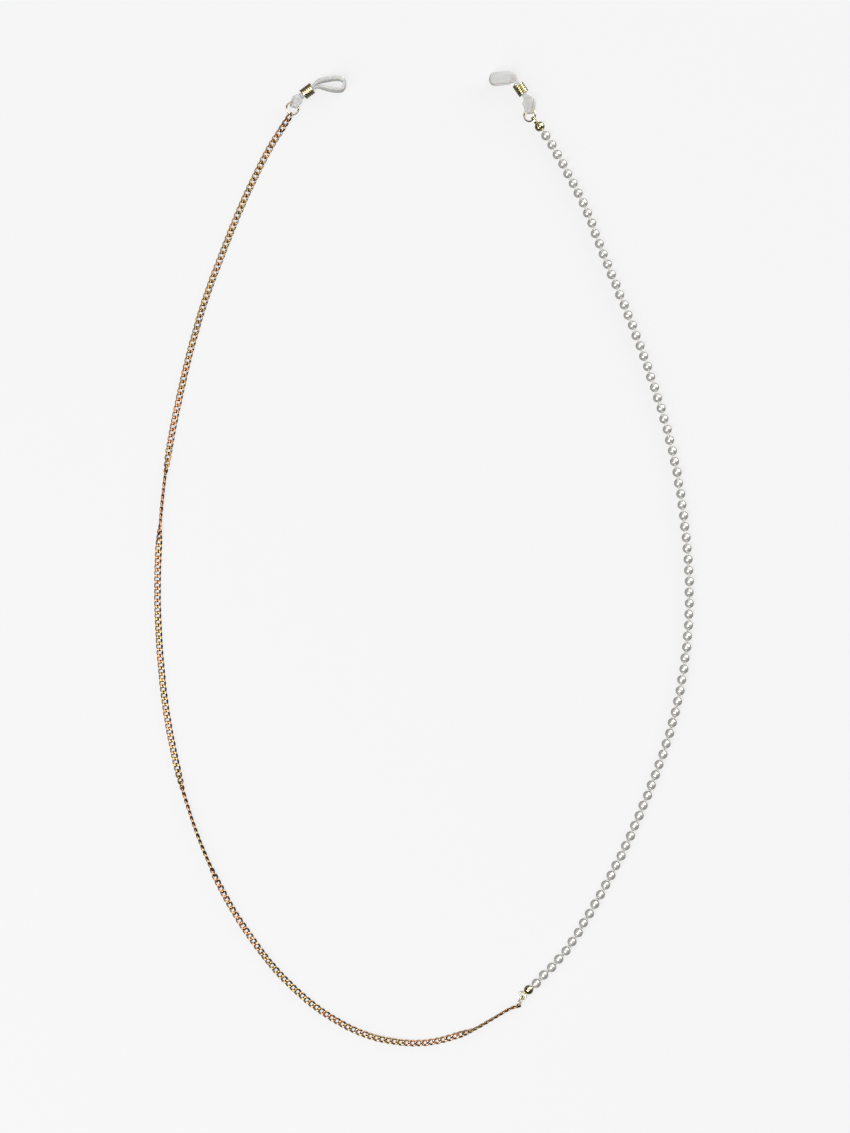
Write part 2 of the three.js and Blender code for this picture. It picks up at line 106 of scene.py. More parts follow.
# Each silicone band, in its own frame: the coil at the origin and +X along the coil towards the tip.
BAND_WIDTH = 3.9 * MM
BAND_THICKNESS = 1.15 * MM
BAND_OPENING = 2.8 * MM
NECK_WIDTH = 1.7 * MM
NECK_THICKNESS = 0.84 * MM
NECK_OFFSET = 0.5 * MM
BACK_WIDTH = 3.8 * MM
RING_END_WIDTH = 2.3 * MM
RING_END_THICKNESS = 1.0 * MM
RING_END_OPENING = 1.2 * MM
RING_END_PLAY = 0.7 * MM
NOSE_LENGTH = 2.0 * MM  # the tip's width rounds off over this length
NOSE_LEAST = 0.4  # to this share
TIP_GROWTH = 2.3 * MM  # how far past the neck the strip takes to reach its full size
RING_GROWTH = 2.0 * MM
RING_TAPER = (2.4 * MM, -0.8 * MM)
BAND_RISE = 2.5 * MM
STRIP_SQUARENESS = 3.2  # 2 would be an ellipse
TWIST_START = -1.5 * MM
TWIST_PAST_NECK = 0.8 * MM
TWIST_SHORT_OF_RING = 0.5 * MM
RING_BEND_LENGTH = 4.5 * MM
TIP_BEND_LENGTH = 2.6 * MM
RING_OUTLINE = ((0.34, 0.93), (0.75, 1), (0.93, 0.75))
TIP_OUTLINE = ((0.36, 0.7), (0.66, 0.98), (0.878, 0.95), (0.985, 0.5))
ENDS = {
    "left": {
        "place": (-37.9 * MM, 152.7 * MM), "heading": 36, "neck": (-2.6 * MM, 2.8 * MM),
        "to_ring": 5.6 * MM, "ring_bend": 40, "ring_twist": -20, "ring_height": 2.12 * MM,
        "to_tip": 13.3 * MM, "tip_bend": -38, "tip_twist": 98, "tip_height": 2.32 * MM,
    },
    "right": {
        "place": (31.7 * MM, 153.5 * MM), "heading": 124, "neck": (-2.9 * MM, 2.9 * MM),
        "to_ring": 7.35 * MM, "ring_bend": -34, "ring_twist": 30, "ring_height": 2.28 * MM,
        "to_tip": 12.1 * MM, "tip_bend": 61, "tip_twist": 0, "tip_height": 2.58 * MM,
    },
}

# The routes of the chain and of the pearls on the table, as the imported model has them.
CHAIN_ROUTE = (
    (-0.0435, 0.14505), (-0.0485, 0.1374), (-0.0527, 0.1300), (-0.0594, 0.1159), (-0.0658, 0.1001),
    (-0.0717, 0.0841), (-0.0764, 0.0678), (-0.0800, 0.0525), (-0.0833, 0.0358), (-0.0855, 0.0190),
    (-0.0868, 0.0020), (-0.0871, -0.0137), (-0.0863, -0.0307), (-0.0846, -0.0476), (-0.0816, -0.0643),
    (-0.0777, -0.0795), (-0.0720, -0.0955), (-0.0647, -0.1109), (-0.0558, -0.1251), (-0.0457, -0.1375),
    (-0.0329, -0.1485), (-0.0179, -0.1562), (-0.0011, -0.1586), (0.0141, -0.1550), (0.0247, -0.1493),
    (0.0282, -0.1472), (0.0310, -0.1465),
)
PEARL_ROUTE = (
    (0.03995, 0.13825), (0.0436, 0.1323), (0.0469, 0.1263), (0.0528, 0.1148), (0.0575, 0.1026),
    (0.0620, 0.0915), (0.0669, 0.0796), (0.0715, 0.0674), (0.0757, 0.0550), (0.0795, 0.0424),
    (0.0825, 0.0297), (0.0846, 0.0168), (0.0861, 0.0037), (0.0868, -0.0081), (0.0866, -0.0212),
    (0.0853, -0.0342), (0.0830, -0.0471), (0.0796, -0.0597), (0.0753, -0.0720), (0.0704, -0.0842),
    (0.0651, -0.0959), (0.0595, -0.1068), (0.0531, -0.1179), (0.0463, -0.1285), (0.0368, -0.1389),
)
# How far the chain is rolled about its own line: (distance from its upper end, degrees).
CHAIN_ROLL = (
    (0.000, 34), (0.002, 22), (0.007, 0), (0.117, 0), (0.127, 90), (0.140, 90), (0.150, 0),
    (0.222, 0), (0.232, 90), (0.254, 90), (0.263, 140), (0.273, 145), (0.283, 180), (0.291, 200),
    (0.297, 180), (0.362, 180), (0.371, 90), (0.386, 86),
)


# ---------------------------------------------------------------- curves
class Route:
    """A smooth curve through points, measured along its length."""

    def __init__(self, points, closed=False, divisions=2000):
        self.points = [Vector((*point[:2], 0)) for point in points]
        self.closed = closed
        self.divisions = divisions
        self.reach = [0.0]
        before = self.place(0)
        for i in range(1, divisions + 1):
            here = self.place(i / divisions)
            self.reach.append(self.reach[-1] + (here - before).length)
            before = here
        self.length = self.reach[-1]

    def corner(self, i):
        count = len(self.points)
        if self.closed:
            return self.points[i % count]
        if i < 0:
            return 2 * self.points[0] - self.points[1]
        if i >= count:
            return 2 * self.points[-1] - self.points[-2]
        return self.points[i]

    def place(self, share, slope=False):
        """The point, or the direction of travel, at a share of the way through the list of points."""
        spans = len(self.points) - (0 if self.closed else 1)
        along = min(max(share, 0), 1) * spans
        i = min(int(along), spans - 1)
        t = along - i
        a, b, c, d = (self.corner(i + k) for k in (-1, 0, 1, 2))
        first, second, third = c - a, 2 * a - 5 * b + 4 * c - d, 3 * b - a - 3 * c + d
        if slope:
            return (first + 2 * t * second + 3 * t * t * third).normalized()
        return 0.5 * (2 * b + first * t + second * t * t + third * t ** 3)

    def share_at(self, distance):
        low, high = 0, self.divisions
        while high - low > 1:
            middle = (low + high) // 2
            if self.reach[middle] > distance:
                high = middle
            else:
                low = middle
        span = self.reach[high] - self.reach[low]
        return (low + (distance - self.reach[low]) / span) / self.divisions

    def at(self, distance):
        """The point and direction at a distance along the curve, which runs on straight past its ends."""
        inside = min(max(distance, 0), self.length)
        share = self.share_at(inside)
        direction = self.place(share, slope=True)
        return self.place(share) + direction * (distance - inside), direction


def smooth(value, low, high):
    t = min(max((value - low) / (high - low), 0), 1)
    return t * t * (3 - 2 * t)


def mix(low, high, share):
    return low + (high - low) * share


def between_stops(stops, where):
    """A value that changes smoothly from one (place, value) stop to the next."""
    if where <= stops[0][0]:
        return stops[0][1]
    for (low, before), (high, after) in zip(stops, stops[1:]):
        if where <= high:
            return mix(before, after, smooth(where, low, high))
    return stops[-1][1]


# ---------------------------------------------------------------- meshes
class Shape:
    """Closed surfaces gathered into one mesh."""

    def __init__(self):
        self.vertices = []
        self.faces = []

    def add(self, vertices, faces, matrix=None):
        start = len(self.vertices)
        moved = vertices if matrix is None else [matrix @ v for v in vertices]
        self.vertices += moved
        self.faces += [tuple(start + i for i in face) for face in faces]

    def piece(self, name, body, material, slot, nodes=()):
        mesh = bpy.data.meshes.new(name)
        mesh.from_pydata(self.vertices, [], self.faces)
        mesh.polygons.foreach_set("use_smooth", [True] * len(mesh.polygons))
        mesh.materials.append(material)
        mesh.update()
        obj = bpy.data.objects.new(name, mesh)
        bpy.context.scene.collection.objects.link(obj)
        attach(obj, body)
        if nodes:
            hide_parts(*nodes)


def grid_faces(rows, columns, closed):
    """Faces of rows of corners, each row a closed ring, and the rows joined end to end if closed."""
    faces = []
    for r in range(rows if closed else rows - 1):
        for c in range(columns):
            here, there = r * columns, ((r + 1) % rows) * columns
            after = (c + 1) % columns
            faces.append((here + c, here + after, there + after, there + c))
    return faces


def capped(vertices, faces, rows, columns):
    """Closes both ends of a tube."""
    first = tuple(reversed(range(columns)))
    last = tuple(range((rows - 1) * columns, rows * columns))
    return vertices, [first, *faces, last]


def round_section(sides):
    return [(math.cos(2 * math.pi * i / sides), math.sin(2 * math.pi * i / sides)) for i in range(sides)]


def sweep(points, section, closed, up=None):
    """Carries a section along points. section(i) gives its corners as (across, over) offsets.
    The across direction stays square to `up`, or turns as little as it can if `up` is None."""
    count = len(points)
    vertices = []
    across = None
    for i, point in enumerate(points):
        after = points[(i + 1) % count] if closed or i < count - 1 else point
        before = points[i - 1] if closed or i > 0 else point
        tangent = (after - before).normalized()
        if up is not None:
            across = tangent.cross(up).normalized()
        elif across is None:
            across = tangent.orthogonal().normalized()
        else:
            across = (across - tangent * across.dot(tangent)).normalized()
        over = tangent.cross(across)
        vertices += [point + across * a + over * o for a, o in section(i)]
    columns = len(section(0))
    faces = grid_faces(count, columns, closed)
    return (vertices, faces) if closed else capped(vertices, faces, count, columns)


def wire(points, radius, sides=14):
    """A round wire with rounded ends."""
    ring = round_section(sides)
    rounding = (0.55, 0.85, 1)
    first = (points[1] - points[0]).normalized()
    last = (points[-1] - points[-2]).normalized()
    steps = (0, 0.12 * radius, 0.4 * radius)
    start = [points[0] + first * step for step in steps]
    end = [points[-1] - last * step for step in reversed(steps)]
    clear = steps[-1]
    body = [p for p in points[1:-1] if min((p - points[0]).length, (p - points[-1]).length) > clear]
    route = start + body + end
    sizes = list(rounding) + [1] * len(body) + list(reversed(rounding))
    return sweep(route, lambda i: [(radius * sizes[i] * a, radius * sizes[i] * o) for a, o in ring], False)


def lathe(profile, sides):
    """Turns a closed profile of (along, radius) points about the X axis."""
    vertices = []
    for along, radius in profile:
        for a, o in round_section(sides):
            vertices.append(Vector((along, radius * a, radius * o)))
    return vertices, grid_faces(len(profile), sides, True)


# ---------------------------------------------------------------- materials
class Look:
    """A procedural material, built node by node."""

    def __init__(self, name, **settings):
        self.material = bpy.data.materials.new(name)
        self.material.use_nodes = True
        self.tree = self.material.node_tree
        self.shader = self.tree.nodes["Principled BSDF"]
        for socket, value in settings.items():
            self.shader.inputs[socket.replace("_", " ")].default_value = value
        self.coordinates = self.node("ShaderNodeTexCoord").outputs["Object"]

    def node(self, kind, **settings):
        made = self.tree.nodes.new(kind)
        for key, value in settings.items():
            setattr(made, key, value)
        return made

    def link(self, output, target):
        self.tree.links.new(output, target)

    def noise(self, size, detail=3.0, roughness=0.55, distortion=0.0):
        """Noise whose blotches are about `size` metres across."""
        made = self.node("ShaderNodeTexNoise")
        made.inputs["Scale"].default_value = 1 / size
        made.inputs["Detail"].default_value = detail
        made.inputs["Roughness"].default_value = roughness
        made.inputs["Distortion"].default_value = distortion
        self.link(self.coordinates, made.inputs["Vector"])
        return made.outputs["Fac"]

    def ramp(self, value, *stops):
        made = self.node("ShaderNodeValToRGB")
        while len(made.color_ramp.elements) < len(stops):
            made.color_ramp.elements.new(0.5)
        for element, (position, colour) in zip(made.color_ramp.elements, stops):
            element.position = position
            element.color = (*colour, 1)
        self.link(value, made.inputs["Fac"])
        return made.outputs["Color"]

    def range(self, value, low, high):
        made = self.node("ShaderNodeMapRange")
        made.inputs["From Min"].default_value = 0.3
        made.inputs["From Max"].default_value = 0.7
        made.inputs["To Min"].default_value = low
        made.inputs["To Max"].default_value = high
        self.link(value, made.inputs["Value"])
        return made.outputs["Result"]

    def blend(self, share, first, second):
        made = self.node("ShaderNodeMix", data_type="RGBA")
        self.link(share, made.inputs["Factor"])
        self.link(first, made.inputs["A"])
        self.link(second, made.inputs["B"])
        return made.outputs["Result"]

    def colour(self, output):
        self.link(output, self.shader.inputs["Base Color"])

    def roughness(self, value, low, high):
        self.link(self.range(value, low, high), self.shader.inputs["Roughness"])

    def bump(self, value, height, strength=1.0):
        made = self.node("ShaderNodeBump")
        made.inputs["Distance"].default_value = height
        made.inputs["Strength"].default_value = strength
        self.link(value, made.inputs["Height"])
        self.link(made.outputs["Normal"], self.shader.inputs["Normal"])


def gold(name, rosy, olive, tarnish):
    """Polished gold plate that drifts between two tints, with specks of tarnish and fine scratches."""
    look = Look(name, Metallic=1.0)
    plate = look.ramp(look.noise(11 * MM, 2), (0.42, rosy), (0.58, olive))
    spots = look.ramp(look.noise(0.5 * MM, 4, 0.7), (0.56, (0, 0, 0)), (0.72, (1, 1, 1)))
    dark = look.ramp(look.noise(2 * MM, 2), (0.3, tarnish), (0.7, olive))
    look.colour(look.blend(spots, plate, dark))
    look.roughness(look.noise(0.3 * MM, 3), 0.1, 0.24)
    look.bump(look.noise(0.16 * MM, 5, 0.6, 0.8), 0.006 * MM, 0.5)
    return look.material


def pearl_coat():
    """Imitation pearl: an ivory ground under a smooth lustrous coat, with faint orient and tiny ripples."""
    look = Look("pearl_coat", Metallic=0.58, Coat_Weight=0.9, Coat_Roughness=0.18, Coat_IOR=1.6)
    ground = look.ramp(look.noise(3.1 * MM, 2), (0.3, (0.67, 0.66, 0.63)), (0.7, (0.74, 0.71, 0.65)))
    orient = look.ramp(look.noise(1.4 * MM, 1), (0.35, (0.67, 0.64, 0.64)), (0.65, (0.65, 0.67, 0.63)))
    look.colour(look.blend(look.range(look.noise(0.8 * MM, 2), 0.15, 0.6), ground, orient))
    look.roughness(look.noise(0.7 * MM, 2), 0.22, 0.34)
    look.bump(look.noise(0.4 * MM, 3), 0.004 * MM, 0.4)
    return look.material


def silk_thread():
    """Twisted white silk."""
    look = Look("silk_thread", Sheen_Weight=0.4, Sheen_Roughness=0.4)
    look.colour(look.ramp(look.noise(0.25 * MM, 3), (0.3, (0.58, 0.56, 0.52)), (0.7, (0.72, 0.7, 0.66))))
    look.roughness(look.noise(0.2 * MM, 2), 0.5, 0.75)
    look.bump(look.noise(0.07 * MM, 3, 0.6, 1.5), 0.02 * MM, 0.8)
    return look.material


def soft_silicone():
    """Milky translucent silicone, satin from its mould, a little dusty in places, with a faint painted glow
    that lightens its shaded walls.
    """
    # The emission is painted light: a faint even glow that lifts the silicone's shaded sides and walls.
    look = Look("soft_silicone", IOR=1.35, Transmission_Weight=0.4, Subsurface_Weight=0.3,
                Subsurface_Scale=1.2 * MM, Specular_IOR_Level=0.35,
                Emission_Color=(1, 1, 0.98, 1), Emission_Strength=0.14)
    milk = look.ramp(look.noise(4 * MM, 2), (0.3, (0.43, 0.43, 0.42)), (0.7, (0.48, 0.47, 0.46)))
    dust = look.ramp(look.noise(0.3 * MM, 4, 0.7), (0.6, (0, 0, 0)), (0.75, (1, 1, 1)))
    dusty = look.ramp(look.noise(2 * MM, 1), (0.4, (0.38, 0.38, 0.37)), (0.6, (0.42, 0.41, 0.4)))
    look.colour(look.blend(dust, milk, dusty))
    look.roughness(look.noise(0.9 * MM, 3), 0.28, 0.42)
    look.bump(look.noise(0.25 * MM, 4), 0.01 * MM, 0.5)
    return look.material


# ---------------------------------------------------------------- chain
def link_surface(half_length):
    """A curb link about the origin, long along X: an oval of round wire, twisted, with its faces planed."""
    steps, sides = 44, 12
    ring = round_section(sides)
    vertices = []
    for i in range(steps):
        angle = 2 * math.pi * i / steps
        out = Vector((math.cos(angle) / half_length, math.sin(angle) / LINK_HALF_WIDTH, 0)).normalized()
        middle = Vector((half_length * math.cos(angle), LINK_HALF_WIDTH * math.sin(angle), 0))
        for a, o in ring:
            flat = middle + out * (a * LINK_WIRE / 2) + UP * (o * LINK_WIRE / 2)
            twisted = Matrix.Rotation(LINK_TWIST * middle.x / half_length, 4, "X") @ flat
            over = max(abs(twisted.z) - LINK_FACE, 0)
            twisted.z -= math.copysign(LINK_PLANING * over, twisted.z)
            vertices.append(twisted)
    return vertices, grid_faces(steps, sides, True)


class Chain:
    """Where each link of the chain lies."""

    def __init__(self):
        self.route = Route(CHAIN_ROUTE)
        self.pitch = self.route.length / CHAIN_LINKS

    def roll(self, distance):
        return math.radians(between_stops(CHAIN_ROLL, distance))

    def middle(self, distance):
        """The chain's own line: its height depends on its roll, and it comes down from its first ring."""
        roll = self.roll(distance)
        lying = CHAIN_FLAT_HEIGHT * abs(math.cos(roll)) + CHAIN_EDGE_HEIGHT * abs(math.sin(roll))
        near_ring = max(1 - distance / CHAIN_DROP, 0) ** 2
        point, _ = self.route.at(distance)
        point.z = mix(lying, CHAIN_START_HEIGHT, near_ring)
        return point

    def link_matrix(self, start, end, sideways=0.0, turn=0.0):
        """Places a link whose ends reach from one distance to the other."""
        before, after = self.middle(start), self.middle(end)
        direction = (after - before).normalized()
        across = UP.cross(direction).normalized()
        over = direction.cross(across)
        place = (before + after) / 2 + across * sideways
        turned = Matrix((direction, across, over)).transposed().to_4x4()
        rolled = Matrix.Rotation(self.roll((start + end) / 2) + turn, 4, "X")
        return Matrix.Translation(place) @ turned @ rolled


def build_chain(material):
    chain = Chain()
    half = (chain.pitch + LINK_WIRE + LINK_PLAY) / 2
    link = link_surface(half)
    between = CHAIN_LINKS - 2
    for run in range(CHAIN_RUNS):
        first = 1 + round(run * between / CHAIN_RUNS)
        last = 1 + round((run + 1) * between / CHAIN_RUNS)
        shape = Shape()
        for i in range(first, last):
            middle = (i + 0.5) * chain.pitch
            sideways = RANDOM.uniform(-ZIGZAG, ZIGZAG)
            turn = math.radians(RANDOM.uniform(-LINK_JITTER, LINK_JITTER))
            shape.add(*link, chain.link_matrix(middle - half, middle + half, sideways, turn))
        body = f"chain_run_{run + 1:02d}"
        shape.piece(f"curb_links_{run + 1:02d}", body, material, "chain_gold", [body])
    build_end_links(chain, half, material)


def build_end_links(chain, half, material):
    """The first and last links reach round their rings' wires, so they are a little longer."""
    hooked = (RING_WIRE + LINK_WIRE) / 2 + LINK_PLAY
    inner = 1.5 * chain.pitch - half + LINK_WIRE + LINK_PLAY
    reach = (inner + hooked) / 2
    link = link_surface(reach)
    for name, start in (("upper", -hooked), ("lower", chain.route.length - inner)):
        shape = Shape()
        shape.add(*link, chain.link_matrix(start, start + 2 * reach))
        shape.piece(f"end_link_{name}", f"chain_{name}_link", material, "chain_gold", [f"chain_{name}_link"])


# ---------------------------------------------------------------- pearls
def pearl_surface():
    """A drilled pearl about the origin, its hole along X."""
    steps, sides = 26, 36
    edge = math.asin(PEARL_HOLE / PEARL_RADIUS)
    profile = []
    for i in range(steps + 1):
        angle = mix(edge, math.pi - edge, i / steps)
        profile.append((-PEARL_RADIUS * math.cos(angle), PEARL_RADIUS * math.sin(angle)))
    lip = 0.08 * MM
    rim = PEARL_RADIUS * math.cos(edge)
    profile = [(-rim + lip, PEARL_HOLE - 0.6 * lip), *profile, (rim - lip, PEARL_HOLE - 0.6 * lip)]
    return lathe(profile, sides)


def knot_surface():
    """An overhand knot about the origin, on a thread along X."""
    steps, sides = 40, 8
    points = []
    for i in range(steps):
        t = 2 * math.pi * i / steps
        over = -0.5 * math.sin(3 * t)
        around = Vector((over, math.sin(t) + 2 * math.sin(2 * t), math.cos(t) - 2 * math.cos(2 * t)))
        points.append(around * ((KNOT_RADIUS - KNOT_STRAND) / 3))
    ring = [(KNOT_STRAND * a, KNOT_STRAND * o) for a, o in round_section(sides)]
    return sweep(points, lambda i: ring, True, up=Vector((1, 0.3, 0.2)))


def build_pearls(pearl_material, thread_material):
    route = Route(PEARL_ROUTE)
    pitch = route.length / (PEARL_COUNT - 1)
    pearl, knot = pearl_surface(), knot_surface()

    def frame_at(distance, sideways=0.0, turn=0.0):
        point, direction = route.at(distance)
        across = UP.cross(direction)
        place = point + across * sideways + UP * PEARL_RADIUS
        turned = Matrix((direction, across, UP)).transposed().to_4x4()
        return Matrix.Translation(place) @ turned @ Matrix.Rotation(turn, 4, "X")

    for run in range(PEARL_COUNT // PEARLS_PER_RUN):
        pearls, threads = Shape(), Shape()
        first = run * PEARLS_PER_RUN
        body = f"pearl_run_{run + 1:02d}"
        for i in range(first, first + PEARLS_PER_RUN):
            side = PEARL_ZIGZAG * (1 if i % 2 else -1) * RANDOM.uniform(0.2, 1)
            lean = Matrix.Rotation(math.radians(RANDOM.uniform(-PEARL_LEAN, PEARL_LEAN)), 4, "Z")
            size = RANDOM.uniform(PEARL_LEAST_SIZE, 1.0)
            pearls.add(*pearl, frame_at(i * pitch, side) @ lean @ Matrix.Scale(size, 4))
            threads.add(*knot, frame_at((i + 0.5) * pitch, 0, RANDOM.uniform(0, math.tau)))
        if run == 0:
            threads.add(*knot, frame_at(-pitch / 2))
        stops = [first * pitch - pitch / 2 + k * pitch / 6 for k in range(6 * PEARLS_PER_RUN + 1)]
        line = [frame_at(stop).translation for stop in stops]
        threads.add(*wire(line, THREAD_RADIUS, 8))
        pearls.piece(f"pearls_{run + 1:02d}", body, pearl_material, "pearl", [body])
        threads.piece(f"knotted_thread_{run + 1:02d}", body, thread_material, None)


# ---------------------------------------------------------------- rings
def ring_surface(cut):
    """A split ring about the origin, in the XY plane."""
    steps = 72
    points = []
    for i in range(steps + 1):
        angle = cut + RING_CUT / 2 + (math.tau - RING_CUT) * i / steps
        points.append(Vector((RING_RADIUS * math.cos(angle), RING_RADIUS * math.sin(angle), 0)))
    return wire(points, RING_WIRE / 2)


def middle_of(node):
    low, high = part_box(node)
    return (low + high) / 2


def ring_turn(end):
    """A band's ring turns about the band's own way there, as far as the band is twisted."""
    _, turned, _ = band_frame(end, -end["to_ring"])
    way = math.radians(end["heading"]) + turned
    return Matrix.Rotation(-math.radians(end["ring_twist"]), 4, Vector((math.cos(way), math.sin(way), 0)))


def build_rings(material):
    turns = {name: ring_turn(end) for name, end in ENDS.items()}
    turns["join"] = Euler((JOIN_LEAN, 0, JOIN_HEADING)).to_matrix().to_4x4()
    for name, turn in turns.items():
        node = "join_ring" if name == "join" else f"{name}_jump_ring"
        shape = Shape()
        shape.add(*ring_surface(RING_CUTS[name]), Matrix.Translation(middle_of(node)) @ turn)
        shape.piece(f"split_ring_{name}", node, material, "pale_gold", [node])


# ---------------------------------------------------------------- bead tips
def cup_surface():
    """Half of a clamshell: a cup over the XY plane, with a rolled rim and a notch for the thread."""
    steps, sides = 12, 40
    inside = TIP_RADIUS - TIP_WALL
    middle = (TIP_RADIUS + inside) / 2
    vertices = []
    rim = 0.06 * MM
    outer = [(TIP_RADIUS, angle) for angle in (math.pi / 2 * i / steps for i in range(steps))]
    inner = [(inside, angle) for angle in (math.pi / 2 * (steps - 1 - i) / steps for i in range(steps))]
    profile = [(r * math.cos(a), r * math.sin(a) + rim * math.cos(a)) for r, a in outer]
    top = [(0.02 * MM, TIP_RADIUS), (0.02 * MM, inside)]
    profile += top + [(r * math.cos(a), r * math.sin(a) + rim * math.cos(a)) for r, a in inner]
    profile.append((middle, 0.3 * rim))
    for radius, height in profile:
        for a, o in round_section(sides):
            notch = TIP_HOLE if radius * a < -0.8 * inside and abs(radius * o) < TIP_HOLE else 0
            vertices.append(Vector((radius * a, radius * o, max(height, notch))))
    return vertices, grid_faces(len(profile), sides, True)


def tip_loop_surface():
    """A tongue of sheet metal that leaves the cups and curls round into an eye."""
    steps = 40
    half_width, half_thickness = TIP_LOOP_WIDTH / 2, TIP_LOOP_THICKNESS / 2
    corner = 0.1 * MM
    section = []
    for side_a, side_o, start in ((1, 1, 0), (-1, 1, 90), (-1, -1, 180), (1, -1, 270)):
        for k in range(4):
            angle = math.radians(start + 30 * k)
            across = side_a * (half_thickness - corner) + corner * math.cos(angle)
            over = side_o * (half_width - corner) + corner * math.sin(angle)
            section.append((across, over))
    middle = Vector((TIP_LOOP_MIDDLE, 0, 0))
    points = []
    for i in range(steps + 1):
        angle = mix(*TIP_LOOP_ARC, i / steps)
        points.append(middle + Vector((math.cos(angle), math.sin(angle), 0)) * TIP_LOOP_RADIUS)
    return sweep(points, lambda i: section, False, up=UP)


def crimp_surface():
    """A crimp bead about the origin along X, squeezed flat in the middle."""
    round_edge = 0.08 * MM
    profile = [
        (-CRIMP_HALF, CRIMP_HOLE), (-CRIMP_HALF, CRIMP_RADIUS - round_edge),
        (-CRIMP_HALF + round_edge, CRIMP_RADIUS), (0, CRIMP_RADIUS - round_edge),
        (CRIMP_HALF - round_edge, CRIMP_RADIUS), (CRIMP_HALF, CRIMP_RADIUS - round_edge),
        (CRIMP_HALF, CRIMP_HOLE), (0, CRIMP_HOLE),
    ]
    return lathe(profile, 28)


def upper_tip_pitch(middle):
    """How steeply the upper tip rises from its middle to the ring that it holds."""
    way = Vector((math.cos(UPPER_TIP_HEADING), math.sin(UPPER_TIP_HEADING), 0))
    held = middle_of("right_jump_ring") - ring_turn(ENDS["right"]) @ way * RING_RADIUS
    return math.asin((held.z - middle.z) / TIP_TO_RING)


def build_bead_tip(name, turn, material):
    """`turn` gives the tip's roll, its pitch and its heading."""
    body = f"{name}_bead_tip"
    place = Matrix.Translation(middle_of(f"{name}_crimp_bead")) @ turn.to_matrix().to_4x4()
    tip = Shape()
    cup = cup_surface()
    hinge = Vector((-TIP_RADIUS, 0, 0))
    for side in (1, -1):
        opened = Matrix.Rotation(-side * TIP_OPENING, 4, "Y")
        about_hinge = Matrix.Translation(hinge) @ opened @ Matrix.Translation(-hinge)
        flip = Matrix() if side == 1 else Matrix.Rotation(math.pi, 4, "X")
        tip.add(*cup, place @ about_hinge @ flip)
    tip.add(*tip_loop_surface(), place)
    tip.piece(f"clamshell_{name}", body, material, "pale_gold", [body])
    crimp = Shape()
    crimp.add(*crimp_surface(), place)
    crimp.piece(f"crimp_{name}", body, material, "pale_gold", [f"{name}_crimp_bead"])


# ---------------------------------------------------------------- bands and coils
def band_loop(end):
    """The middle line of the closed strip, in its own plane."""
    ring_x = -end["to_ring"] - RING_WIRE / 2 - RING_END_PLAY - RING_END_THICKNESS / 2
    ring_y = (RING_END_OPENING + RING_END_THICKNESS) / 2
    tip_x = end["to_tip"] - BAND_THICKNESS / 2
    tip_y = (BAND_OPENING + BAND_THICKNESS) / 2
    neck_from, neck_to = end["neck"]
    ring_side = [(mix(neck_from, ring_x, along), ring_y * up) for along, up in reversed(RING_OUTLINE)]
    neck = [(mix(neck_from, neck_to, k / 3), NECK_OFFSET) for k in range(4)]
    tip_side = [(mix(neck_to, tip_x, along), tip_y * up) for along, up in TIP_OUTLINE]
    side = ring_side + neck + tip_side
    return Route(side + [(x, -y) for x, y in reversed(side)], closed=True)


def beyond_neck(end, x, length):
    past = max(end["neck"][0] - x, x - end["neck"][1], 0)
    return smooth(past, 0, length)


def band_section(end, x):
    """The strip's width and thickness at x."""
    towards_tip = x > end["neck"][0]
    share = beyond_neck(end, x, TIP_GROWTH if towards_tip else RING_GROWTH)
    taper = smooth(-x, end["to_ring"] - RING_TAPER[0], end["to_ring"] - RING_TAPER[1])
    full_width = BAND_WIDTH if towards_tip else mix(BACK_WIDTH, RING_END_WIDTH, taper)
    full_thickness = BAND_THICKNESS if towards_tip else RING_END_THICKNESS
    return mix(NECK_WIDTH, full_width, share), mix(NECK_THICKNESS, full_thickness, share)


def bent_axis(distance, bend, length):
    """How far the band's axis has gone along and sideways, and turned, at a distance past the neck."""
    curved = min(distance, length)
    turned = bend * curved / length
    radius = length / bend
    straight = distance - curved
    along = radius * math.sin(turned) + straight * math.cos(turned)
    sideways = radius * (1 - math.cos(turned)) + straight * math.sin(turned)
    return along, sideways, turned


def band_frame(end, x):
    """The axis point, heading and twist at x."""
    neck_from, neck_to = end["neck"]
    twist = math.radians(end["tip_twist"]) * smooth(x, TWIST_START, neck_to + TWIST_PAST_NECK)
    twist += math.radians(end["ring_twist"]) * smooth(-x, -neck_from, end["to_ring"] - TWIST_SHORT_OF_RING)
    end_height = end["tip_height"] if x > 0 else end["ring_height"]
    rise = mix(COIL_HEIGHT, end_height, beyond_neck(end, x, BAND_RISE))
    if x > neck_to:
        along, sideways, turned = bent_axis(x - neck_to, math.radians(end["tip_bend"]), TIP_BEND_LENGTH)
        return Vector((neck_to + along, sideways, rise)), turned, twist
    if x < neck_from:
        along, sideways, turned = bent_axis(neck_from - x, -math.radians(end["ring_bend"]), RING_BEND_LENGTH)
        return Vector((neck_from - along, sideways, rise)), -turned, twist
    return Vector((x, 0, rise)), 0, twist


def nose_share(end, x):
    """The share of its width that the strip keeps near the tip, which is round seen from its broad side."""
    past = min(max((x - end["to_tip"]) / NOSE_LENGTH + 1, 0), 1)
    return max(NOSE_LEAST, math.sqrt(1 - past * past))


def strip_corner(power, angle):
    """A corner of a rounded oblong section, from -1 to 1 each way."""
    c, s = math.cos(angle), math.sin(angle)
    return math.copysign(abs(c) ** (2 / power), c), math.copysign(abs(s) ** (2 / power), s)


